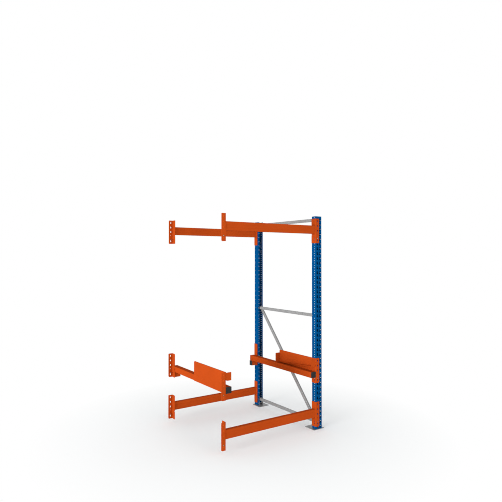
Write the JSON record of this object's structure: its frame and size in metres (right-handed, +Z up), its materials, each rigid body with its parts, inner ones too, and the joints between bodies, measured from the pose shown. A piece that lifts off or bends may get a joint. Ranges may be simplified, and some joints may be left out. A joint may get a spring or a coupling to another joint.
{
  "type": "storage rack add-on bay",
  "caption": "Add-on bay of a steel storage rack: a perforated upright frame, hook-in box beams at top and bottom, and short fore-and-aft bearers with guides between.",
  "frame": {"origin": "on the floor, in the middle of the footprint", "axes": "+X across the bay towards the upright frame, +Y from the front to the rear, +Z up"},
  "size_m": [1.256, 1.1156, 2.212],
  "materials": {
    "blue_paint": "satin powder coat",
    "orange_paint": "satin powder coat",
    "galvanised_steel": "galvanised, with spangle",
    "zinc_hardware": "bright zinc plated",
    "black_plastic": "fine moulded grain"
  },
  "bodies": {
    "rack": {"bottom_brace": "galvanised_steel", "bottom_front_beam": "orange_paint", "bottom_front_left_connector": "orange_paint", "bottom_front_right_connector": "orange_paint", "bottom_rear_beam": "orange_paint", "bottom_rear_left_connector": "orange_paint", "bottom_rear_right_connector": "orange_paint", "brace_bolts": "zinc_hardware", "brace_nuts": "zinc_hardware", "brace_spacers": "zinc_hardware", "diagonal_brace": "galvanised_steel", "foot_bolts": "zinc_hardware", "foot_nuts": "zinc_hardware", "front_footplate": "galvanised_steel", "front_upright": "blue_paint", "left_arm_cap": "black_plastic", "left_bar_front_cap": "black_plastic", "left_bar_rear_cap": "black_plastic", "left_bearer_bar": "orange_paint", "left_guide_plate": "orange_paint", "left_guide_tray": "orange_paint", "left_rear_arm": "orange_paint", "middle_brace": "galvanised_steel", "middle_front_left_connector": "orange_paint", "middle_front_right_connector": "orange_paint", "middle_rear_left_connector": "orange_paint", "middle_rear_right_connector": "orange_paint", "rear_footplate": "galvanised_steel", "rear_upright": "blue_paint", "right_arm_cap": "black_plastic", "right_bar_front_cap": "black_plastic", "right_bar_rear_cap": "black_plastic", "right_bearer_bar": "orange_paint", "right_guide_plate": "orange_paint", "right_guide_tray": "orange_paint", "right_rear_arm": "orange_paint", "top_brace": "galvanised_steel", "top_front_beam": "orange_paint", "top_front_left_connector": "orange_paint", "top_front_right_connector": "orange_paint", "top_rear_beam": "orange_paint", "top_rear_left_connector": "orange_paint", "top_rear_right_connector": "orange_paint"},
    "bottom_front_left_pin": {"bottom_front_left_pin": "zinc_hardware"},
    "bottom_front_right_pin": {"bottom_front_right_pin": "zinc_hardware"},
    "bottom_rear_left_pin": {"bottom_rear_left_pin": "zinc_hardware"},
    "bottom_rear_right_pin": {"bottom_rear_right_pin": "zinc_hardware"},
    "middle_front_left_pin": {"middle_front_left_pin": "zinc_hardware"},
    "middle_front_right_pin": {"middle_front_right_pin": "zinc_hardware"},
    "middle_rear_left_pin": {"middle_rear_left_pin": "zinc_hardware"},
    "middle_rear_right_pin": {"middle_rear_right_pin": "zinc_hardware"},
    "top_front_left_pin": {"top_front_left_pin": "zinc_hardware"},
    "top_front_right_pin": {"top_front_right_pin": "zinc_hardware"},
    "top_rear_left_pin": {"top_rear_left_pin": "zinc_hardware"},
    "top_rear_right_pin": {"top_rear_right_pin": "zinc_hardware"}
  },
  "joints": [
    {"name": "bottom_front_left_pin_pull", "type": "slide", "parent": "rack", "child": "bottom_front_left_pin", "axis": [0, -1, 0], "range_m": [0, 0.014]},
    {"name": "bottom_front_right_pin_pull", "type": "slide", "parent": "rack", "child": "bottom_front_right_pin", "axis": [0, -1, 0], "range_m": [0, 0.014]},
    {"name": "bottom_rear_left_pin_pull", "type": "slide", "parent": "rack", "child": "bottom_rear_left_pin", "axis": [0, 1, 0], "range_m": [0, 0.014]},
    {"name": "bottom_rear_right_pin_pull", "type": "slide", "parent": "rack", "child": "bottom_rear_right_pin", "axis": [0, 1, 0], "range_m": [0, 0.014]},
    {"name": "middle_front_left_pin_pull", "type": "slide", "parent": "rack", "child": "middle_front_left_pin", "axis": [0, -1, 0], "range_m": [0, 0.014]},
    {"name": "middle_front_right_pin_pull", "type": "slide", "parent": "rack", "child": "middle_front_right_pin", "axis": [0, -1, 0], "range_m": [0, 0.014]},
    {"name": "middle_rear_left_pin_pull", "type": "slide", "parent": "rack", "child": "middle_rear_left_pin", "axis": [0, 1, 0], "range_m": [0, 0.014]},
    {"name": "middle_rear_right_pin_pull", "type": "slide", "parent": "rack", "child": "middle_rear_right_pin", "axis": [0, 1, 0], "range_m": [0, 0.014]},
    {"name": "top_front_left_pin_pull", "type": "slide", "parent": "rack", "child": "top_front_left_pin", "axis": [0, -1, 0], "range_m": [0, 0.014]},
    {"name": "top_front_right_pin_pull", "type": "slide", "parent": "rack", "child": "top_front_right_pin", "axis": [0, -1, 0], "range_m": [0, 0.014]},
    {"name": "top_rear_left_pin_pull", "type": "slide", "parent": "rack", "child": "top_rear_left_pin", "axis": [0, 1, 0], "range_m": [0, 0.014]},
    {"name": "top_rear_right_pin_pull", "type": "slide", "parent": "rack", "child": "top_rear_right_pin", "axis": [0, 1, 0], "range_m": [0, 0.014]}
  ]
}
